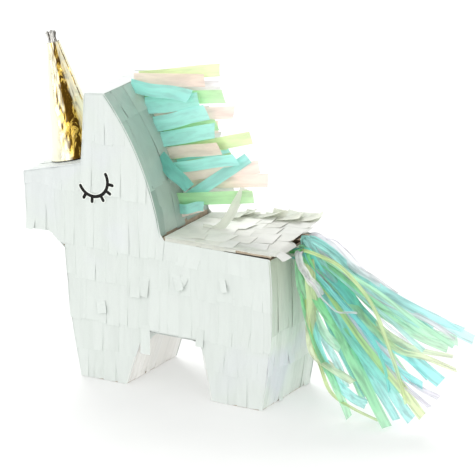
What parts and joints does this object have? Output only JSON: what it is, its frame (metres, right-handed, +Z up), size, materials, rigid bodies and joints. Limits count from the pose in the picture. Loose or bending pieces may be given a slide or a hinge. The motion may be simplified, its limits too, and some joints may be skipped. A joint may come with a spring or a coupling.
{
  "type": "pinata",
  "caption": "Small table pinata shaped as a standing horned animal: fringed card box with a hinged lid on its back, a foil horn, a paper mane and a ribbon tail.",
  "frame": {"origin": "on the ground, midway between the front and rear feet, in the middle of the width", "axes": "+Z up, nose towards -X, rump and tail towards +X, the left flank faces -Y"},
  "size_m": [0.2182, 0.0464, 0.1578],
  "materials": {
    "black_vinyl": "printed die-cut sticker",
    "card": "bare grey-brown card",
    "gold_foil": "metallised gold foil, wrinkled",
    "green_paper": "green tissue",
    "green_ribbon": "green paper ribbon",
    "gummed_tape": "kraft paper tape",
    "horn_card": "bare card, hidden",
    "neck_tissue": "white tissue paper patches",
    "peach_paper": "peach tissue",
    "ribbon_tie": "pale paper tie",
    "silver_foil": "crimped end of the wrapping, pale and clear",
    "turquoise_paper": "turquoise tissue",
    "turquoise_ribbon": "turquoise paper ribbon",
    "white_paper": "white tissue",
    "white_ribbon": "white to pale lilac paper ribbon",
    "white_tissue": "layered white tissue paper with a faint pearl sheen",
    "yellow_paper": "yellow-green tissue",
    "yellow_ribbon": "yellow-green paper ribbon"
  },
  "bodies": {
    "shell": {"belly_paper": "white_tissue", "chest_band": "card", "chest_fringe_lower": "white_tissue", "chest_fringe_upper": "white_tissue", "crown_paper": "white_tissue", "forehead_paper": "white_tissue", "front_leg_inner_paper": "white_tissue", "head_band": "card", "horn_core": "horn_card", "horn_foil": "gold_foil", "horn_tip": "silver_foil", "jaw_paper": "white_tissue", "left_belly_fringe": "white_tissue", "left_cheek_fringe": "white_tissue", "left_crown_fringe": "white_tissue", "left_eye_sticker": "black_vinyl", "left_flank_fringe": "white_tissue", "left_leg_fringe": "white_tissue", "left_seam_tape": "gummed_tape", "left_side_panel": "card", "left_throat_fringe": "white_tissue", "mane_green_comb": "green_paper", "mane_peach_comb": "peach_paper", "mane_turquoise_comb": "turquoise_paper", "mane_white_comb": "white_paper", "mane_yellow_comb": "yellow_paper", "muzzle_paper": "white_tissue", "neck_paper_lower": "neck_tissue", "neck_paper_middle": "neck_tissue", "neck_paper_upper": "neck_tissue", "nose_fringe": "white_tissue", "rear_leg_inner_paper": "white_tissue", "right_belly_fringe": "white_tissue", "right_cheek_fringe": "white_tissue", "right_crown_fringe": "white_tissue", "right_eye_sticker": "black_vinyl", "right_flank_fringe": "white_tissue", "right_leg_fringe": "white_tissue", "right_seam_tape": "gummed_tape", "right_side_panel": "card", "right_throat_fringe": "white_tissue", "rump_band": "card", "rump_fringe_lower": "white_tissue", "rump_fringe_upper": "white_tissue", "tail_root_tape": "gummed_tape"},
    "lid": {"back_lid": "card", "lid_hinge_tape": "gummed_tape", "lid_fringe_1": "white_tissue", "lid_fringe_2": "white_tissue", "lid_fringe_3": "white_tissue", "lid_fringe_4": "white_tissue", "lid_fringe_5": "white_tissue"},
    "tail_root": {"tail_binding": "ribbon_tie"},
    "tail": {"tail_roll": "ribbon_tie", "tail_green_ribbons": "green_ribbon", "tail_turquoise_ribbons": "turquoise_ribbon", "tail_white_ribbons": "white_ribbon", "tail_yellow_ribbons": "yellow_ribbon"}
  },
  "joints": [
    {"name": "lid_hinge", "type": "hinge", "parent": "shell", "child": "lid", "pos_m": [-0.0044, 0, 0.0739], "axis": [0, -1, 0], "range_deg": [0, 78], "deforming": ["mane_green_comb", "mane_peach_comb", "mane_turquoise_comb", "mane_white_comb", "mane_yellow_comb"]},
    {"name": "tail_sway", "type": "hinge", "parent": "shell", "child": "tail_root", "pos_m": [0.0532, 0, 0.071], "axis": [0, 0, 1], "range_deg": [-25, 25], "stiffness_Nm_per_rad": 0.003},
    {"name": "tail_lift", "type": "hinge", "parent": "tail_root", "child": "tail", "pos_m": [0.0591, 0, 0.071], "axis": [0, -1, 0], "range_deg": [0, 45]}
  ]
}
